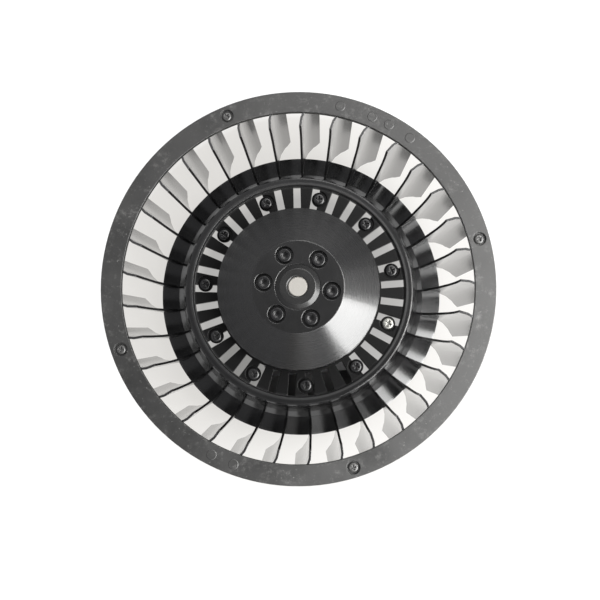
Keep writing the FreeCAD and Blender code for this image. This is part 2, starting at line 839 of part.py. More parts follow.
def make_grommet():
    """Rubber grommet where the motor's lead leaves the cover, with a flange on the outside."""
    grommet = doc.addObject("Part::Cut", "lead_grommet")
    grommet.Label = "lead_grommet"
    neck = doc.addObject("Part::Cylinder", "grommet_neck")
    neck.setExpression("Radius", bound("grommet_radius"))
    neck.setExpression("Height", bound("cover_wall"))
    flange = doc.addObject("Part::Cylinder", "grommet_flange")
    flange.setExpression("Radius", bound("grommet_flange_radius"))
    flange.setExpression("Height", bound("grommet_flange_thickness"))
    bore = doc.addObject("Part::Cylinder", "grommet_bore")
    bore.setExpression("Radius", bound("grommet_bore_radius"))
    bore.setExpression("Height", bound("cover_wall + grommet_flange_thickness"))
    outside = doc.addObject("Part::Fuse", "grommet_outside")
    outside.Base = neck
    outside.Tool = flange
    inside = f"{COVER_OUTER} - cover_wall"
    for item, start in ((neck, inside), (flange, COVER_OUTER), (bore, inside)):
        item.Placement.Rotation = FreeCAD.Rotation(FreeCAD.Vector(0, 1, 0), 90)
        item.setExpression("Placement.Base.x", bound(start))
        item.setExpression("Placement.Base.z", bound("grommet_height"))
    grommet.Base = outside
    grommet.Tool = bore
    grommet.setExpression("Placement.Rotation.Angle", bound("cover_turn * 1deg"))
    return grommet


def make_rear_cap():
    """Pressed cap that closes the bearing tube below the shaft."""
    body = new_body("rear_cap")
    high = "cap_recess + cap_thickness"
    edge = "bearing_outer_radius"
    lid = "bearing_outer_radius - cap_thickness"
    corners = [
        ("0", "cap_recess"),
        (edge, "cap_recess"),
        (edge, "2 * cap_recess + cap_thickness"),
        (lid, "2 * cap_recess + cap_thickness"),
        (lid, high),
        ("0", high),
    ]
    revolve(body, "cap", corners)
    return body


def star_outline(body, name, lift, height):
    """Disc with a tooth at each slot's side: the plan of the laminations and of their end plates."""
    sketch = new_sketch(body, f"{name}_disc", lift=lift)
    add_circle(sketch, "core_outer_radius")
    add_circle(sketch, "bearing_outer_radius + tube_wall")
    pad(body, f"{name}_plate", sketch, height)
    sketch = new_sketch(body, f"{name}_slot_outline", lift=f"{lift} + {height}", turn="180 / tooth_count")
    half_pitch = "180 / tooth_count * 1deg"
    tip_radius = "(core_outer_radius - tooth_tip_depth)"
    inner_half = f"core_yoke_radius * tan({half_pitch}) - tooth_width / 2"
    outer_half = f"{tip_radius} * tan({half_pitch}) - tooth_width / 2"
    corners = [
        ("core_yoke_radius", f"-({inner_half})"),
        (tip_radius, f"-({outer_half})"),
        (tip_radius, "-tooth_gap / 2"),
        ("core_outer_radius + tooth_tip_depth", "-tooth_gap / 2"),
        ("core_outer_radius + tooth_tip_depth", "tooth_gap / 2"),
        (tip_radius, "tooth_gap / 2"),
        (tip_radius, outer_half),
        ("core_yoke_radius", inner_half),
    ]
    add_outline(sketch, corners)
    slot = pocket(body, f"{name}_slot", sketch, height)
    around(body, f"{name}_slots", slot, "tooth_count")


def make_stator_core():
    body = new_body("stator_core")
    star_outline(body, "core", "core_low_height", "core_stack")
    return body


def make_end_insulator(label, low):
    body = new_body(label)
    star_outline(body, label, low, "insulator_thickness")
    return body


def box_around(inner, outer, half_width, low, high):
    """Block that lies along +X between two radii."""
    corner = FreeCAD.Vector(inner, -half_width, low)
    return Part.makeBox(outer - inner, 2 * half_width, high - low, corner)


def make_stator_coils():
    """One rectangular coil around each tooth and its end plates."""
    low = size("core_low_height") - size("insulator_thickness")
    high = size("core_low_height") + size("core_stack") + size("insulator_thickness")
    inner = size("coil_inner_radius")
    outer = size("coil_outer_radius")
    tooth_half = size("tooth_width") / 2 + size("slip")
    half_pitch = math.pi / whole("tooth_count")
    room_inner = inner * math.tan(half_pitch) - size("slip")
    wall = size("coil_wall")
    reach = min(tooth_half + wall, outer * math.tan(half_pitch) - size("slip"))
    window = box_around(inner, outer, tooth_half, low, high)
    bulk = box_around(inner, outer, reach, low - wall, high + wall)
    side = Part.makePolygon(
        [
            FreeCAD.Vector(inner, -room_inner, low - wall),
            FreeCAD.Vector(outer, -outer * math.tan(half_pitch) + size("slip"), low - wall),
            FreeCAD.Vector(outer, outer * math.tan(half_pitch) - size("slip"), low - wall),
            FreeCAD.Vector(inner, room_inner, low - wall),
            FreeCAD.Vector(inner, -room_inner, low - wall),
        ]
    )
    wedge = Part.Face(side).extrude(FreeCAD.Vector(0, 0, high - low + 2 * wall))
    coil = bulk.common(wedge).cut(window)
    copies = [turned(coil, turn) for turn in angles(whole("tooth_count"), 0)]
    return free_feature("stator_coils", Part.makeCompound(copies))


def make_rotor_magnets():
    """Curved magnets on the inside of the shell's skirt."""
    outer = size("shell_outer_radius") - size("shell_wall")
    inner = size("core_outer_radius") + size("air_gap")
    low = size("magnet_low_height")
    span = 360 / whole("magnet_count") - size("magnet_gap_angle")
    base = FreeCAD.Vector(0, 0, low)
    axis = FreeCAD.Vector(0, 0, 1)
    segment = Part.makeCylinder(outer, size("magnet_length"), base, axis, span)
    segment = segment.cut(Part.makeCylinder(inner, size("magnet_length"), base))
    copies = [turned(segment, turn) for turn in angles(whole("magnet_count"), 0)]
    return free_feature("rotor_magnets", Part.makeCompound(copies))


def make_board():
    """Circuit board that switches the coils, around the bearing tube."""
    body = new_body("circuit_board")
    sketch = new_sketch(body, "board_outline", lift="board_height")
    add_circle(sketch, "board_radius")
    add_circle(sketch, "board_hole_radius")
    pad(body, "board", sketch, "board_thickness")
    lift = "board_height + board_thickness"
    sketch = new_sketch(body, "board_hole_outline", lift=lift, turn="board_screw_phase")
    add_circle(sketch, "board_screw_radius + slip", across="board_screw_circle")
    hole = pocket(body, "board_hole", sketch, "board_thickness")
    around(body, "board_holes", hole, "board_screw_count")
    return body


def headed_screw(prefix, length):
    """Screw with its head's underside at z = 0."""
    shank = Part.makeCylinder(size(f"{prefix}_radius"), length, FreeCAD.Vector(0, 0, -length))
    head = Part.makeCylinder(size(f"{prefix}_head_radius"), size(f"{prefix}_head_height"))
    return shank.fuse(head).removeSplitter()


def cross_recess(head_radius, head_height):
    """Two crossed blocks that cut a driver's recess."""
    arm = head_radius * size("cross_arm_share")
    width = head_radius * size("cross_width_share")
    depth = head_height * size("cross_depth_share")
    corner = FreeCAD.Vector(-arm, -width / 2, head_height - depth)
    block = Part.makeBox(2 * arm, width, depth, corner)
    return block.fuse(turned(block, 90))


def placed(shape, circle, degrees, height):
    """Copy of a fastener moved to its seat, turned to face outward."""
    copy = turned(shape, degrees)
    copy.translate(spot(circle, degrees, height))
    return copy


def pan_screw(prefix, length):
    """Pan-head screw with a cross recess, from the family of sizes that the prefix names."""
    recess = cross_recess(size(f"{prefix}_head_radius"), size(f"{prefix}_head_height"))
    return headed_screw(prefix, length).cut(recess)


def make_ring_screws():
    seat = size("ring_face_height") - size("ring_screw_pocket_depth")
    screw = pan_screw("ring_screw", size("ring_screw_length"))
    circle = size("ring_outer_radius") - size("ring_screw_inset")
    copies = [placed(screw, circle, turn, seat) for turn in ring_screw_angles()]
    return free_feature("ring_screws", Part.makeCompound(copies))


def make_wheel_screws():
    """Screws that hold the wheel on the lugs: all black but the one at the lower right."""
    seat = size("crown_height") - size("lug_screw_pocket_depth")
    screw = pan_screw("lug_screw", size("lug_screw_length"))
    circle = size("lug_screw_circle")
    turns = angles(whole("lug_screw_count"), size("lug_screw_phase"))
    copies = [placed(screw, circle, turn, seat) for turn in turns]
    bright = copies.pop()
    black = free_feature("wheel_screws", Part.makeCompound(copies))
    return black, free_feature("plated_screw", Part.makeCompound([bright]))


def make_hub_screws():
    """Socket cap screws in the shell's nose."""
    seat = size("shell_top_height") - size("hub_screw_pocket_depth")
    rise = size("hub_screw_head_height")
    screw = headed_screw("hub_screw", size("hub_screw_length"))
    corner = size("hub_screw_key_width") / math.sqrt(3)
    depth = size("hub_screw_key_depth")
    points = [spot(corner, 60 * side, rise - depth) for side in range(7)]
    key = Part.Face(Part.makePolygon(points)).extrude(FreeCAD.Vector(0, 0, depth))
    screw = screw.cut(key)
    turns = angles(whole("hub_screw_count"), size("hub_screw_phase"))
    copies = [placed(screw, size("hub_screw_circle"), turn, seat) for turn in turns]
    return free_feature("hub_screws", Part.makeCompound(copies))


def make_board_screws():
    seat = size("board_height") + size("board_thickness")
    screw = headed_screw("board_screw", seat - size("bracket_thickness"))
    turns = angles(whole("board_screw_count"), size("board_screw_phase"))
    copies = [placed(screw, size("board_screw_circle"), turn, seat) for turn in turns]
    return free_feature("board_screws", Part.makeCompound(copies))


def make_parts():
    parts = [
        make_inlet_ring(),
        make_blade_wheel(),
        make_ring_screws(),
        *make_wheel_screws(),
        make_rotor_shell(),
        make_hub_screws(),
        make_shaft_hub(),
        make_motor_shaft(),
        make_rotor_magnets(),
        make_bearing_spacer(),
        make_shaft_clip(),
        make_bracket(),
        make_stator_core(),
        make_end_insulator("front_insulator", "core_low_height + core_stack"),
        make_end_insulator("rear_insulator", "core_low_height - insulator_thickness"),
        make_stator_coils(),
        make_bearing("front_bearing", "front_bearing_height"),
        make_bearing("rear_bearing", "rear_bearing_height"),
        make_washer(),
        make_board(),
        make_board_screws(),
        make_lead_cover(),
        make_grommet(),
        make_rear_cap(),
    ]
    doc.recompute()
    return parts


def check(parts):
    """Stops if any object failed to build or any sub-part is empty or invalid."""
    for item in doc.Objects:
        if {"Invalid", "Error"} & set(item.State):
            raise RuntimeError(f"{item.Label} did not build: {item.State}")
    for part in parts:
        if part.Shape.isNull() or not part.Shape.isValid() or not part.Shape.Solids:
            raise RuntimeError(f"{part.Label} has no valid solid")


def export(parts):
    os.makedirs("parts", exist_ok=True)
    for part in parts:
        part.Shape.exportStep(f"parts/{part.Label}.step")
        print(f"{part.Label}: {len(part.Shape.Solids)} solids, {part.Shape.Volume / 1000:.1f} cm3")


all_parts = make_parts()
check(all_parts)
export(all_parts)
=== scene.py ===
import json
import math

import bmesh
import bpy
from mathutils import Matrix, Vector


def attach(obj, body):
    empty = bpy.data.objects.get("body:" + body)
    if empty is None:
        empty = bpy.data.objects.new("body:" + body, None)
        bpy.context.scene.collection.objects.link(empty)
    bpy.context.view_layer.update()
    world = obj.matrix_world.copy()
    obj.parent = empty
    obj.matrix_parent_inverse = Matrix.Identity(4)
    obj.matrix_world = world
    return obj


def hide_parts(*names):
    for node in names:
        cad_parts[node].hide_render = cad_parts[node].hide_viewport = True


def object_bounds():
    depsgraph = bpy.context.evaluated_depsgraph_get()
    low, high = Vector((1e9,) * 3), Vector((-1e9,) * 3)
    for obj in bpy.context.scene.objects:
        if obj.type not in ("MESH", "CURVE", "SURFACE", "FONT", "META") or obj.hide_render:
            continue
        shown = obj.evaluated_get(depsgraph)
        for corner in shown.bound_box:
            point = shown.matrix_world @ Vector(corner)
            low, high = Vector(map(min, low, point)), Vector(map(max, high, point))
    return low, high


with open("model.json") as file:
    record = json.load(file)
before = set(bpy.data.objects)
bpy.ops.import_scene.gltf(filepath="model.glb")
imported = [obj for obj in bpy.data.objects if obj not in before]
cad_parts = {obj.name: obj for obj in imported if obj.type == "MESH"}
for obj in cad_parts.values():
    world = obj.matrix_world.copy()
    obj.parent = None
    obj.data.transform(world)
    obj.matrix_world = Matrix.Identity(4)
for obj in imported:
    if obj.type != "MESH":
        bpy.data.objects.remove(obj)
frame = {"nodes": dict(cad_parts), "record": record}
CAD_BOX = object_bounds()
NODES = frame["nodes"]
MM = 0.001

# Camera of the photograph, in degrees and metres, found from the circles of the ring and the dish.
RING_FACE = Vector((0.0, 0.0, CAD_BOX[1][2]))
CAMERA_AZIMUTH = 18.0
CAMERA_ELEVATION = 84.6
CAMERA_DISTANCE = 0.600
CAMERA_SENSOR = 36.0
FOCAL_PIXELS = 990.0
PICTURE = 600
RING_CENTRE_PIXEL = (297.4, 285.6)

# Places of the fasteners: directions in degrees from +X, circles and seats in metres.
BLADE_COUNT = 33
BLADE_PHASE = 1.84
RING_SCREW_LAG = 12.569
RING_SCREW_STEP = 8
RING_SCREW_COUNT = 4
RING_SCREW_CIRCLE = 113.8 * MM
RING_SCREW_SEAT = 94.1 * MM
LUG_SCREW_PHASE = 12.36
LUG_SCREW_COUNT = 11
LUG_SCREW_CIRCLE = 60.7 * MM
LUG_SCREW_SEAT = 58.0 * MM
HUB_SCREW_PHASE = 52.76
HUB_SCREW_COUNT = 6
HUB_SCREW_CIRCLE = 21.1 * MM
HUB_SCREW_SEAT = 83.8 * MM

# Sizes of the fasteners: radius and height of the head, radius and length of the shank.
RING_SCREW_HEAD = (2.95 * MM, 1.7 * MM)
RING_SCREW_SHANK = (1.45 * MM, 9.9 * MM)
LUG_SCREW_HEAD = (4.0 * MM, 2.6 * MM)
LUG_SCREW_SHANK = (1.95 * MM, 7.5 * MM)
HUB_SCREW_HEAD = (4.25 * MM, 5.0 * MM)
HUB_SCREW_SHANK = (2.45 * MM, 9.9 * MM)
HUB_SCREW_CHAMFER = 0.5 * MM
HUB_SCREW_KEY = 4.0 * MM
HUB_SCREW_KEY_DEPTH = 2.5 * MM

# Top of a recess's cut against the head's height, and turn of a screw against its direction.
CUT_TOP = 1.2
SCREW_TWIST = 2.3

# Radii between which the surface of the wheel or of the shell changes.
CROWN_RIM = (66.0 * MM, 68.0 * MM)
DULL_END = (69.5 * MM, 70.5 * MM)
LIP_INSIDE = (70.2 * MM, 70.8 * MM)
LIP_OUTSIDE = (74.5 * MM, 76.5 * MM)
GLOSS_END = (74.5 * MM, 77.0 * MM)
BLADE_START = (92.5 * MM, 95.5 * MM)
CONE_START = (28.6 * MM, 29.2 * MM)

# Plain round marks on the ring: directions, radii of their edge, and height against the grain's.
MARK_TURNS = (52.8, 60.5, 66.2, 76.7, 243.2, 250.4)
MARK_EDGE = (2.7 * MM, 3.1 * MM)
MARK_HEIGHT = 6.0

# Nodes whose sharp edges are rounded, with the width of the rounding in metres.
EDGE_ROUNDS = {
    "inlet_ring": 0.35 * MM,
    "blade_wheel": 0.22 * MM,
    "rotor_shell": 0.55 * MM,
    "shaft_hub": 0.35 * MM,
    "lead_cover": 0.8 * MM,
    "motor_bracket": 0.4 * MM,
    "lead_grommet": 0.4 * MM,
}
WELD_DISTANCE = 0.0005 * MM
FLAT_TURN = math.radians(0.3)
SHARP_TURN = math.radians(22)

# Floor: half its side, its drop below the fan, and the tones of its glow by share of their reach from
# the axis.
FLOOR_REACH = 6.0
FLOOR_DROP = 0.2 * MM
# Painted shade: the floor's glow is darker under the fan, the more so towards the axis.
PAINTED_SHADE_REACH = 0.155
FLOOR_GLOW_WITH_PAINTED_SHADE = [
    (0.45, (0.44, 0.435, 0.425)),
    (0.56, (0.67, 0.655, 0.63)),
    (0.83, (0.68, 0.665, 0.64)),
    (0.90, (0.95, 0.95, 0.95)),
]

# Painted shadow of the lead's cover: a darker patch of the floor under the slots beside it.
SHADE_MIDDLE = (-0.041, -0.048, 0.0)
SHADE_EDGE = (0.014, 0.026)
SHADE_COLOUR = (0.26, 0.257, 0.25)

# Room: shades from below to above, and parts given by direction, inner and outer reach and colour.
ROOM_SHADES = [
    (0.62, (0.25, 0.25, 0.26)),
    (0.82, (0.30, 0.30, 0.31)),
    (0.90, (0.60, 0.60, 0.62)),
    (0.965, (0.55, 0.55, 0.57)),
    (0.985, (0.42, 0.42, 0.43)),
]
ROOM_PARTS = {
    "dark above": ((-0.07, -0.15, 0.986), 0.18, 0.40, (0.10, 0.10, 0.10)),
    "dark in front": ((0.0, -0.87, 0.50), 0.15, 0.28, (0.20, 0.185, 0.17)),
    "lit between": ((0.10, -0.66, 0.745), 0.12, 0.20, (3.4, 3.4, 3.4)),
}

# Rise above the horizon over which the white backdrop ends, as the Z of a direction.
BACKDROP_EDGE = (0.20, 0.30)

# Lamps: place, width and height, radiance and colour.
LAMPS = {
    "window": ((0.83, -0.48, 0.77), (0.86, 1.15), 11.2, (1.0, 1.0, 0.99)),
    "ceiling": ((0.74, 0.02, 1.28), (0.75, 0.70), 8.6, (1.0, 0.99, 0.97)),
    "ceiling_top": ((0.22, 0.78, 1.30), (0.70, 0.60), 4.2, (1.0, 0.99, 0.97)),
}
LAMP_TARGET = Vector((0.0, 0.0, 0.05))


def around(circle, turn, height):
    """Place on a circle about the axis, from its direction in degrees."""
    angle = math.radians(turn)
    return (circle * math.cos(angle), circle * math.sin(angle), height)


def tree_of(name):
    """New material with an empty node tree and its output."""
    material = bpy.data.materials.new(name)
    material.use_nodes = True
    tree = material.node_tree
    tree.nodes.clear()
    return material, tree, node(tree, "ShaderNodeOutputMaterial")


def node(tree, kind, **settings):
    """New node with the settings given by name."""
    made = tree.nodes.new(kind)
    for name, value in settings.items():
        setattr(made, name, value)
    return made


def connect(tree, source, socket):
    """Sets a socket to a plain number, or links another node's output to it."""
    if isinstance(source, (int, float)):
        socket.default_value = source
    else:
        tree.links.new(source, socket)


def noise(tree, place, scale, detail=4.0, rough=0.5):
    """Noise in space."""
    made = node(tree, "ShaderNodeTexNoise")
    made.inputs["Scale"].default_value = scale
    made.inputs["Detail"].default_value = detail
    made.inputs["Roughness"].default_value = rough
    tree.links.new(place, made.inputs["Vector"])
    return made.outputs["Fac"]


def noise_of_radius(tree, radius, scale):
    """Noise that changes only with the distance from the axis, as a lathe's marks do."""
    made = node(tree, "ShaderNodeTexNoise", noise_dimensions="1D")
    made.inputs["Scale"].default_value = scale
    made.inputs["Detail"].default_value = 3.0
    tree.links.new(radius, made.inputs["W"])
    return made.outputs["Fac"]


def ramp(tree, source, stops):
    """Colour ramp whose stops are (place, colour)."""
    made = node(tree, "ShaderNodeValToRGB")
    band = made.color_ramp
    while len(band.elements) < len(stops):
        band.elements.new(0.5)
    for element, (place, colour) in zip(band.elements, stops):
        element.position = place
        element.color = (*colour, 1.0)
    tree.links.new(source, made.inputs["Fac"])
    return made.outputs["Color"]


def shades(tree, source, dark, pale):
    """Colour that follows a noise from dark to pale."""
    return ramp(tree, source, [(0.3, dark), (0.7, pale)])


def spots(tree, source, start, end, strength):
    """Places where a noise is high, with their strength from 0 to the one given."""
    found = ramp(tree, source, [(start, (0, 0, 0)), (end, (1, 1, 1))])
    return calc(tree, "MULTIPLY", found, strength)


def span(tree, source, low, high, start=0.25, end=0.75):
    """Number between start and end turned into one between low and high."""
    made = node(tree, "ShaderNodeMapRange")
    made.inputs["From Min"].default_value = start
    made.inputs["From Max"].default_value = end
    connect(tree, low, made.inputs["To Min"])
    connect(tree, high, made.inputs["To Max"])
    tree.links.new(source, made.inputs["Value"])
    return made.outputs["Result"]


def calc(tree, operation, first, second=None):
    """Result of an operation on one or two numbers."""
    made = node(tree, "ShaderNodeMath", operation=operation)
    connect(tree, first, made.inputs[0])
    if second is not None:
        connect(tree, second, made.inputs[1])
    return made.outputs["Value"]


def mixed(tree, share, first, second):
    """Colour between two others."""
    made = node(tree, "ShaderNodeMix", data_type="RGBA")
    tree.links.new(share, made.inputs["Factor"])
    for name, colour in (("A", first), ("B", second)):
        socket = [item for item in made.inputs if item.name == name and item.type == "RGBA"][0]
        if isinstance(colour, tuple):
            socket.default_value = (*colour, 1.0)
        else:
            tree.links.new(colour, socket)
    return [item for item in made.outputs if item.type == "RGBA"][0]


def object_place(tree):
    """Place on the object, in metres in the frame."""
    return node(tree, "ShaderNodeTexCoord").outputs["Object"]


def split(tree, place):
    """The X, Y and Z of a place."""
    parts = node(tree, "ShaderNodeSeparateXYZ")
    tree.links.new(place, parts.inputs["Vector"])
    return parts.outputs


def near(tree, place, middle, inner, outer, peak=1.0):
    """The peak's value within the inner reach of a point, falling to 0 at the outer one."""
    away = node(tree, "ShaderNodeVectorMath", operation="DISTANCE")
    tree.links.new(place, away.inputs[0])
    away.inputs[1].default_value = middle
    return span(tree, away.outputs["Value"], peak, 0.0, inner, outer)


def radius_of(tree, place):
    """Distance from the fan's axis, in metres."""
    parts = split(tree, place)
    across = calc(tree, "MULTIPLY", parts["X"], parts["X"])
    along = calc(tree, "MULTIPLY", parts["Y"], parts["Y"])
    return calc(tree, "SQRT", calc(tree, "ADD", across, along))


def seen_rays(tree):
    """1 for rays from the camera, mirrored or not, and 0 for those that only bring light."""
    path = node(tree, "ShaderNodeLightPath")
    seen = calc(tree, "MAXIMUM", path.outputs["Is Camera Ray"], path.outputs["Is Glossy Ray"])
    return calc(tree, "MAXIMUM", seen, path.outputs["Is Transmission Ray"])


def relief(tree, shader, height, distance, edge):
    """Fine relief, over edges that shine as if rounded by the edge's radius."""
    rounded = node(tree, "ShaderNodeBevel", samples=6)
    connect(tree, edge, rounded.inputs["Radius"])
    made = node(tree, "ShaderNodeBump")
    made.inputs["Strength"].default_value = 1.0
    made.inputs["Distance"].default_value = distance
    tree.links.new(rounded.outputs["Normal"], made.inputs["Normal"])
    tree.links.new(height, made.inputs["Height"])
    tree.links.new(made.outputs["Normal"], shader.inputs["Normal"])


def principled(tree, output, metal=0.0, specular=0.5, coat=0.0, coat_rough=0.1):
    """Main shader, linked to the material's output."""
    shader = node(tree, "ShaderNodeBsdfPrincipled")
    shader.inputs["Metallic"].default_value = metal
    shader.inputs["Specular IOR Level"].default_value = specular
    shader.inputs["Coat Weight"].default_value = coat
    shader.inputs["Coat Roughness"].default_value = coat_rough
    tree.links.new(shader.outputs["BSDF"], output.inputs["Surface"])
    return shader


def surface(name, dark, pale, rough, **finish):
    """Plain material whose colour, roughness and relief vary over the surface."""
    material, tree, output = tree_of(name)
    shader = principled(tree, output, **finish)
    place = object_place(tree)
    large = noise(tree, place, 35.0, 5.0, 0.6)
    fine = noise(tree, place, 900.0, 3.0, 0.6)
    tree.links.new(shades(tree, large, dark, pale), shader.inputs["Base Color"])
    tree.links.new(span(tree, large, *rough), shader.inputs["Roughness"])
    relief(tree, shader, fine, 0.02 * MM, 0.25 * MM)
    return material


def turned_steel(name, dark, pale, rough):
    """Blackened or dull steel with the rings that a lathe leaves."""
    material, tree, output = tree_of(name)
    shader = principled(tree, output)
    place = object_place(tree)
    rings = noise_of_radius(tree, radius_of(tree, place), 4200.0)
    large = noise(tree, place, 160.0, 4.0, 0.6)
    tree.links.new(shades(tree, rings, dark, pale), shader.inputs["Base Color"])
    tree.links.new(span(tree, large, *rough), shader.inputs["Roughness"])
    relief(tree, shader, rings, 0.012 * MM, 0.4 * MM)
    return material


def wheel_plastic():
    """Black moulded plastic: dull crown with painted shade on its colour, glossy lip, satin dish, and
    polished blades outside it.
    """
    material, tree, output = tree_of("wheel_plastic")
    shader = principled(tree, output, coat_rough=0.15)
    shader.inputs["Coat IOR"].default_value = 1.9
    place = object_place(tree)
    large = noise(tree, place, 40.0, 5.0, 0.6)
    fine = noise(tree, place, 700.0, 3.0, 0.6)
    radius = radius_of(tree, place)

    body = shades(tree, large, (0.007, 0.007, 0.0073), (0.012, 0.012, 0.0123))
    # Painted shade: inside the crown's rim the colour is mixed towards black.
    crown_painted_shade = span(tree, radius, 0.7, 0.0, *CROWN_RIM)
    tree.links.new(mixed(tree, crown_painted_shade, body, (0.001, 0.001, 0.001)), shader.inputs["Base Color"])
    shine = span(tree, radius, 0.20, 0.70, *CROWN_RIM)
    tree.links.new(shine, shader.inputs["Specular IOR Level"])

    lip_and_dish = span(tree, radius, 0.14, span(tree, large, 0.18, 0.26), *GLOSS_END)
    inside = span(tree, radius, 0.30, lip_and_dish, *DULL_END)
    polished = span(tree, large, 0.18, 0.24)
    blade = span(tree, radius, 0.0, 1.0, *BLADE_START)
    tree.links.new(span(tree, blade, inside, polished, 0.0, 1.0), shader.inputs["Roughness"])
    tree.links.new(blade, shader.inputs["Coat Weight"])

    edge = span(tree, radius, 1.4 * MM, 0.4 * MM, *LIP_OUTSIDE)
    edge = span(tree, radius, 0.4 * MM, edge, *LIP_INSIDE)
    relief(tree, shader, fine, 0.006 * MM, edge)
    return material


def ring_plastic():
    """Dark grey moulded plastic with scuffs, light specks and plain round marks."""
    material, tree, output = tree_of("ring_plastic")
    shader = principled(tree, output, specular=0.8)
    place = object_place(tree)
    large = noise(tree, place, 28.0, 6.0, 0.65)
    fine = noise(tree, place, 1500.0, 3.0, 0.6)
    tree.links.new(span(tree, large, 0.32, 0.52), shader.inputs["Roughness"])

    body = shades(tree, large, (0.007, 0.007, 0.0067), (0.013, 0.0128, 0.0123))
    scuffs = spots(tree, noise(tree, place, 150.0, 10.0, 0.85), 0.54, 0.68, 0.48)
    paler = mixed(tree, scuffs, body, (0.15, 0.148, 0.144))
    specks = spots(tree, noise(tree, place, 620.0, 3.0, 0.7), 0.66, 0.72, 0.35)
    tree.links.new(mixed(tree, specks, paler, (0.35, 0.345, 0.335)), shader.inputs["Base Color"])

    waves = calc(tree, "MULTIPLY", noise(tree, place, 260.0, 6.0, 0.7), 2.5)
    height = calc(tree, "ADD", fine, waves)
    for turn in MARK_TURNS:
        middle = around(RING_SCREW_CIRCLE, turn, RING_FACE.z)
        height = calc(tree, "ADD", height, near(tree, place, middle, *MARK_EDGE, MARK_HEIGHT))
    relief(tree, shader, height, 0.02 * MM, 0.5 * MM)
    return material


def shell_paint():
    """Turned steel under a thin gloss black coat, with the lathe's marks showing through."""
    material, tree, output = tree_of("shell_paint")
    shader = principled(tree, output, specular=0.9, coat=0.3, coat_rough=0.12)
    shader.inputs["Anisotropic Rotation"].default_value = 0.25
    tangent = node(tree, "ShaderNodeTangent", direction_type="RADIAL", axis="Z")
    tree.links.new(tangent.outputs["Tangent"], shader.inputs["Tangent"])
    place = object_place(tree)
    large = noise(tree, place, 45.0, 5.0, 0.6)
    fine = noise(tree, place, 900.0, 2.0, 0.5)
    radius = radius_of(tree, place)
    rings = noise_of_radius(tree, radius, 5200.0)

    cone = span(tree, radius, 0.0, 1.0, *CONE_START)
    tree.links.new(calc(tree, "MULTIPLY", cone, 0.8), shader.inputs["Anisotropic"])
    body = shades(tree, rings, (0.0028, 0.0028, 0.003), (0.006, 0.006, 0.006))
    tree.links.new(body, shader.inputs["Base Color"])
    flat_rough = span(tree, large, 0.16, 0.24)
    cone_rough = span(tree, rings, 0.22, 0.32)
    tree.links.new(span(tree, cone, flat_rough, cone_rough, 0.0, 1.0), shader.inputs["Roughness"])
    height = calc(tree, "ADD", rings, calc(tree, "MULTIPLY", fine, 0.5))
    relief(tree, shader, height, 0.012 * MM, 0.8 * MM)
    return material


# Material of each slot: colours from dark to pale, then the roughness from low to high.
MATERIALS = {
    "ring": ring_plastic(),
    "wheel": wheel_plastic(),
    "shell": shell_paint(),
    "hub": turned_steel("hub_steel", (0.008, 0.008, 0.008), (0.016, 0.016, 0.016), (0.22, 0.30)),
    "shaft": turned_steel("shaft_steel", (0.21, 0.20, 0.185), (0.28, 0.27, 0.25), (0.45, 0.60)),
    "black_screws": surface(
        "black_steel", (0.006, 0.006, 0.0065), (0.013, 0.013, 0.0135), (0.17, 0.26)
    ),
    "plated_screw": surface(
        "zinc_plate", (0.22, 0.22, 0.205), (0.36, 0.36, 0.34), (0.34, 0.46), metal=1.0
    ),
    "steel": surface(
        "bright_steel", (0.45, 0.45, 0.44), (0.62, 0.62, 0.61), (0.25, 0.40), metal=1.0
    ),
    "magnet": surface("magnet_ferrite", (0.05, 0.05, 0.055), (0.09, 0.09, 0.095), (0.50, 0.70)),
    "bracket": surface(
        "cast_aluminium", (0.50, 0.50, 0.51), (0.64, 0.64, 0.65), (0.42, 0.60), metal=1.0
    ),
    "core": surface(
        "lamination_steel", (0.22, 0.22, 0.23), (0.36, 0.36, 0.37), (0.40, 0.55), metal=1.0
    ),
    "insulator": surface(
        "insulator_plastic", (0.70, 0.69, 0.64), (0.80, 0.79, 0.75), (0.50, 0.65)
    ),
    "copper": surface(
        "copper_wire", (0.50, 0.20, 0.08), (0.68, 0.32, 0.15), (0.30, 0.45), metal=1.0
    ),
    "board": surface("board_laminate", (0.02, 0.12, 0.04), (0.03, 0.18, 0.07), (0.30, 0.45)),
    "cover": surface(
        "cover_plastic", (0.060, 0.060, 0.060), (0.080, 0.080, 0.080), (0.45, 0.60)
    ),
    "grommet": surface(
        "grommet_rubber", (0.012, 0.012, 0.012), (0.022, 0.022, 0.022), (0.60, 0.75)
    ),
}


def dress_nodes():
    """Gives each CAD node its material, and rounds the edges of those that show."""
    slots = {row["node"]: row["material_slot"] for row in frame["record"]["subparts"]}
    for name, item in NODES.items():
        item.data.materials.clear()
        item.data.materials.append(MATERIALS[slots[name]])
        if name in EDGE_ROUNDS:
            soften(item, EDGE_ROUNDS[name])


def soften(item, width):
    """Joins a mesh's flat parts, rounds its sharp edges and shades the rest smooth."""
    weld = item.modifiers.new("weld", "WELD")
    weld.merge_threshold = WELD_DISTANCE
    flat = item.modifiers.new("flat", "DECIMATE")
    flat.decimate_type = "DISSOLVE"
    flat.angle_limit = FLAT_TURN
    rounds = item.modifiers.new("rounds", "BEVEL")
    rounds.width = width
    rounds.segments = 3
    rounds.limit_method = "ANGLE"
    rounds.angle_limit = SHARP_TURN
    shade_smooth(item.data)
    weighted = item.modifiers.new("shading", "WEIGHTED_NORMAL")
    weighted.keep_sharp = True


def shade_smooth(mesh):
    """Smooth shading on every face."""
    for face in mesh.polygons:
        face.use_smooth = True


def new_piece(name, mesh, slot, body, *replaced, material=None):
    """Scene piece that takes the place of CAD nodes and moves with their body."""
    piece = bpy.data.objects.new(name, mesh)
    bpy.context.scene.collection.objects.link(piece)
    mesh.materials.append(material or MATERIALS[slot])
    shade_smooth(mesh)
    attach(piece, body)
    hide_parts(*replaced)


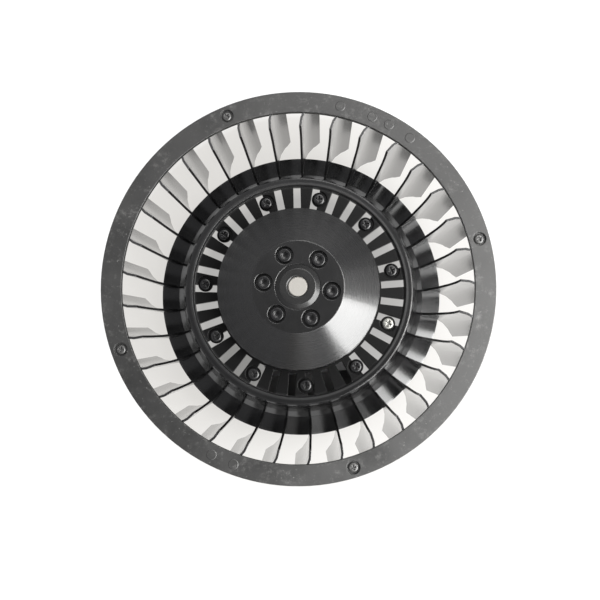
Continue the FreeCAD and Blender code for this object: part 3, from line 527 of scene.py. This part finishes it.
def lathe(outline, sides):
    """Builder of a surface turned about Z from radii and heights, closed where the radius is 0."""
    def ring_of(work, radius, height):
        if radius == 0:
            return [work.verts.new((0, 0, height))]
        angles = [2 * math.pi * side / sides for side in range(sides)]
        return [
            work.verts.new((radius * math.cos(angle), radius * math.sin(angle), height))
            for angle in angles
        ]

    def build(work):
        rings = [ring_of(work, radius, height) for radius, height in outline]
        for low, high in zip(rings, rings[1:]):
            for side in range(sides):
                following = (side + 1) % sides
                if len(low) == 1:
                    work.faces.new((low[0], high[following], high[side]))
                elif len(high) == 1:
                    work.faces.new((low[side], low[following], high[0]))
                else:
                    work.faces.new((low[side], low[following], high[following], high[side]))

    return build


def prism(corners, low, high, draft):
    """Builder of an upright block over the corners, narrowed by the draft at its lower end."""
    def build(work):
        bottom = [work.verts.new((x * draft, y * draft, low)) for x, y in corners]
        top = [work.verts.new((x, y, high)) for x, y in corners]
        work.faces.new(bottom[::-1])
        work.faces.new(top)
        count = len(corners)
        for side in range(count):
            following = (side + 1) % count
            work.faces.new((bottom[side], bottom[following], top[following], top[side]))

    return build


def built(name, build):
    """Object whose mesh comes from a builder."""
    mesh = bpy.data.meshes.new(name)
    work = bmesh.new()
    build(work)
    bmesh.ops.recalc_face_normals(work, faces=work.faces)
    work.to_mesh(mesh)
    work.free()
    item = bpy.data.objects.new(name, mesh)
    bpy.context.scene.collection.objects.link(item)
    return item


def carved(name, body_build, cut_builds, edge):
    """Mesh of a body less its cuts, with edges softened by the width given."""
    body = built(name, body_build)
    tools = [built(f"{name}_cut", build) for build in cut_builds]
    for tool in tools:
        cut = body.modifiers.new("cut", "BOOLEAN")
        cut.operation = "DIFFERENCE"
        cut.solver = "EXACT"
        cut.object = tool
    bevel = body.modifiers.new("bevel", "BEVEL")
    bevel.width = edge
    bevel.segments = 2
    bevel.angle_limit = math.radians(30)
    weighted = body.modifiers.new("shading", "WEIGHTED_NORMAL")
    weighted.keep_sharp = True
    graph = bpy.context.evaluated_depsgraph_get()
    mesh = bpy.data.meshes.new_from_object(body.evaluated_get(graph))
    for item in (*tools, body):
        bpy.data.objects.remove(item)
    return mesh


def dome(radius, height, shank, length):
    """Outline of a pan head screw, from the shank's end up to the middle of its crown."""
    foot, brim = 0.97, 0.12
    crown, rounding = 0.62, 0.38
    side, rise = 0.45, 0.5
    steps = 6
    outline = [
        (0, -length), (shank, -length), (shank, 0), (radius * foot, 0), (radius, height * brim),
    ]
    for step in range(steps + 1):
        turn = math.pi / 2 * step / steps
        outline.append((
            radius * (crown + rounding * math.cos(turn)),
            height * (side + rise * math.sin(turn)),
        ))
    outline.append((0, height))
    return outline


def pan_head(name, head, shank, sides, edge):
    """Screw with a domed head, whose cross recess is cut as two tapered bars."""
    radius, height = head
    reach = radius * 0.60
    half = radius * 0.15
    depth = height * 0.62
    bar = [(-reach, -half), (reach, -half), (reach, half), (-reach, half)]
    crossed = [(-y, x) for x, y in bar]
    low, high = height - depth, height * CUT_TOP
    cuts = [prism(corners, low, high, draft=0.72) for corners in (bar, crossed)]
    return carved(name, lathe(dome(radius, height, *shank), sides), cuts, edge)


def socket_head(name, head, shank, sides, edge):
    """Screw with a cylindrical head and a hexagon recess."""
    radius, height = head
    shank_radius, length = shank
    outline = [
        (0, -length), (shank_radius, -length), (shank_radius, 0), (radius, 0),
        (radius, height - HUB_SCREW_CHAMFER), (radius - HUB_SCREW_CHAMFER, height), (0, height),
    ]
    corner = HUB_SCREW_KEY / math.sqrt(3)
    key = [around(corner, 60 * side, 0)[:2] for side in range(6)]
    cut = prism(key, height - HUB_SCREW_KEY_DEPTH, height * CUT_TOP, draft=0.97)
    return carved(name, lathe(outline, sides), [cut], edge)


def screws_at(name, screw, circle, turns, seat):
    """One mesh that holds a copy of a screw at each direction."""
    work = bmesh.new()
    for turn in turns:
        start = len(work.verts)
        work.from_mesh(screw)
        work.verts.ensure_lookup_table()
        place = Matrix.Translation(around(circle, turn, seat))
        twist = Matrix.Rotation(math.radians(turn) * SCREW_TWIST, 4, "Z")
        bmesh.ops.transform(work, matrix=place @ twist, verts=work.verts[start:])
    mesh = bpy.data.meshes.new(name)
    work.to_mesh(mesh)
    work.free()
    return mesh


def make_ring_screws():
    """Screws that hold the ring, each beside a blade, in a paler black steel than the other screws.
    """
    screw = pan_head("ring_screw", RING_SCREW_HEAD, RING_SCREW_SHANK, sides=40, edge=0.12 * MM)
    step = 360 / BLADE_COUNT * RING_SCREW_STEP
    turns = [BLADE_PHASE + RING_SCREW_LAG - step * number for number in range(RING_SCREW_COUNT)]
    mesh = screws_at("ring_screw_heads", screw, RING_SCREW_CIRCLE, turns, RING_SCREW_SEAT)
    # Base colour paler than that of the other black screws.
    paler = surface(
        "paler_black_steel", (0.020, 0.020, 0.020), (0.055, 0.054, 0.052), (0.26, 0.40), specular=0.9
    )
    new_piece("ring_screw_heads", mesh, "black_screws", "wheel", "ring_screws", material=paler)


def make_lug_screws():
    """Screws that hold the wheel on the shell's lugs, the last of which is plated."""
    screw = pan_head("lug_screw", LUG_SCREW_HEAD, LUG_SCREW_SHANK, sides=48, edge=0.16 * MM)
    step = 360 / LUG_SCREW_COUNT
    turns = [LUG_SCREW_PHASE + step * number for number in range(LUG_SCREW_COUNT)]
    mesh = screws_at("wheel_screw_heads", screw, LUG_SCREW_CIRCLE, turns[:-1], LUG_SCREW_SEAT)
    new_piece("wheel_screw_heads", mesh, "black_screws", "wheel", "wheel_screws")
    mesh = screws_at("plated_screw_head", screw, LUG_SCREW_CIRCLE, turns[-1:], LUG_SCREW_SEAT)
    new_piece("plated_screw_head", mesh, "plated_screw", "wheel", "plated_screw")


def make_hub_screws():
    """Socket cap screws in the shell's nose."""
    screw = socket_head("hub_screw", HUB_SCREW_HEAD, HUB_SCREW_SHANK, sides=48, edge=0.15 * MM)
    step = 360 / HUB_SCREW_COUNT
    turns = [HUB_SCREW_PHASE + step * number for number in range(HUB_SCREW_COUNT)]
    mesh = screws_at("hub_screw_heads", screw, HUB_SCREW_CIRCLE, turns, HUB_SCREW_SEAT)
    new_piece("hub_screw_heads", mesh, "black_screws", "wheel", "hub_screws")


def floor_paper():
    """Pale paper that lights the fan as it is, and that the camera sees in set tones, with painted
    shade under the fan.
    """
    material, tree, output = tree_of("floor_paper")
    place = object_place(tree)
    large = noise(tree, place, 3.0)
    pale = shades(tree, large, (0.70, 0.70, 0.69), (0.74, 0.74, 0.73))
    paper = shades(tree, large, (0.12, 0.12, 0.12), (0.14, 0.14, 0.14))
    share = span(tree, radius_of(tree, place), 0.0, 1.0, 0.0, PAINTED_SHADE_REACH)
    # Painted shade under the fan, in the glow that the camera sees.
    glow_with_painted_shade = ramp(tree, share, FLOOR_GLOW_WITH_PAINTED_SHADE)
    # Painted shadow beside the lead's cover, mixed into the glow.
    shade = near(tree, place, SHADE_MIDDLE, *SHADE_EDGE)

    lit = node(tree, "ShaderNodeBsdfDiffuse")
    seen = node(tree, "ShaderNodeBsdfDiffuse")
    glow = node(tree, "ShaderNodeEmission")
    tree.links.new(pale, lit.inputs["Color"])
    tree.links.new(paper, seen.inputs["Color"])
    tree.links.new(mixed(tree, shade, glow_with_painted_shade, SHADE_COLOUR), glow.inputs["Color"])
    both = node(tree, "ShaderNodeAddShader")
    tree.links.new(seen.outputs["BSDF"], both.inputs[0])
    tree.links.new(glow.outputs["Emission"], both.inputs[1])
    mix = node(tree, "ShaderNodeMixShader")
    tree.links.new(seen_rays(tree), mix.inputs["Fac"])
    tree.links.new(lit.outputs["BSDF"], mix.inputs[1])
    tree.links.new(both.outputs["Shader"], mix.inputs[2])
    tree.links.new(mix.outputs["Shader"], output.inputs["Surface"])
    return material


def make_floor():
    """Wide floor just below the fan, which shows as white in the open and keeps its shadow."""
    reach = FLOOR_REACH
    corners = [(-reach, -reach, 0), (reach, -reach, 0), (reach, reach, 0), (-reach, reach, 0)]
    mesh = bpy.data.meshes.new("floor")
    mesh.from_pydata(corners, [], [(0, 1, 2, 3)])
    mesh.materials.append(floor_paper())
    floor = bpy.data.objects.new("floor", mesh)
    floor.location.z = -FLOOR_DROP
    bpy.context.scene.collection.objects.link(floor)


def make_world():
    """Grey room with its darker and lit parts, and a white backdrop above the floor's far edge."""
    world = bpy.data.worlds.new("room")
    bpy.context.scene.world = world
    world.use_nodes = True
    tree = world.node_tree
    tree.nodes.clear()
    output = node(tree, "ShaderNodeOutputWorld")
    light = node(tree, "ShaderNodeBackground")
    light.inputs["Strength"].default_value = 1.0
    direction = node(tree, "ShaderNodeTexCoord").outputs["Generated"]
    rise = split(tree, direction)["Z"]
    room = ramp(tree, span(tree, rise, 0.0, 1.0, -1.0, 1.0), ROOM_SHADES)
    for middle, inner, outer, colour in ROOM_PARTS.values():
        room = mixed(tree, near(tree, direction, middle, inner, outer), room, colour)
    low = span(tree, rise, 1.0, 0.0, *BACKDROP_EDGE)
    backdrop = calc(tree, "MULTIPLY", seen_rays(tree), low)
    tree.links.new(mixed(tree, backdrop, room, (1.0, 1.0, 1.0)), light.inputs["Color"])
    tree.links.new(light.outputs["Background"], output.inputs["Surface"])


def make_lamps():
    """Rectangular lamps that face the fan, with their brightness given per unit of surface."""
    for name, (place, (width, height), radiance, colour) in LAMPS.items():
        data = bpy.data.lights.new(name, "AREA")
        data.shape = "RECTANGLE"
        data.size = width
        data.size_y = height
        data.energy = radiance * math.pi * width * height
        data.color = colour
        lamp = bpy.data.objects.new(name, data)
        lamp.location = place
        back = (Vector(place) - LAMP_TARGET).normalized()
        lamp.rotation_mode = "QUATERNION"
        lamp.rotation_quaternion = back.to_track_quat("Z", "Y")
        bpy.context.scene.collection.objects.link(lamp)


def make_camera():
    """Camera of the photograph, whose picture has the ring's centre off its own."""
    azimuth = math.radians(CAMERA_AZIMUTH)
    elevation = math.radians(CAMERA_ELEVATION)
    back = Vector((
        math.sin(azimuth) * math.cos(elevation),
        -math.cos(azimuth) * math.cos(elevation),
        math.sin(elevation),
    ))
    right = Vector((math.cos(azimuth), math.sin(azimuth), 0.0))
    up = back.cross(right)
    turned_right = right * math.cos(azimuth) - up * math.sin(azimuth)
    turned_up = right * math.sin(azimuth) + up * math.cos(azimuth)
    data = bpy.data.cameras.new("camera")
    data.sensor_fit = "HORIZONTAL"
    data.sensor_width = CAMERA_SENSOR
    data.lens = FOCAL_PIXELS * CAMERA_SENSOR / PICTURE
    data.shift_x = (PICTURE / 2 - RING_CENTRE_PIXEL[0]) / PICTURE
    data.shift_y = (RING_CENTRE_PIXEL[1] - PICTURE / 2) / PICTURE
    data.clip_start = 0.01
    data.clip_end = 50.0
    camera = bpy.data.objects.new("camera", data)
    matrix = Matrix((turned_right, turned_up, back)).transposed().to_4x4()
    matrix.translation = RING_FACE + back * CAMERA_DISTANCE
    camera.matrix_world = matrix
    bpy.context.scene.collection.objects.link(camera)
    bpy.context.scene.camera = camera


dress_nodes()
make_ring_screws()
make_lug_screws()
make_hub_screws()
make_floor()
make_world()
make_lamps()
make_camera()
bpy.context.scene.view_settings.view_transform = "Standard"
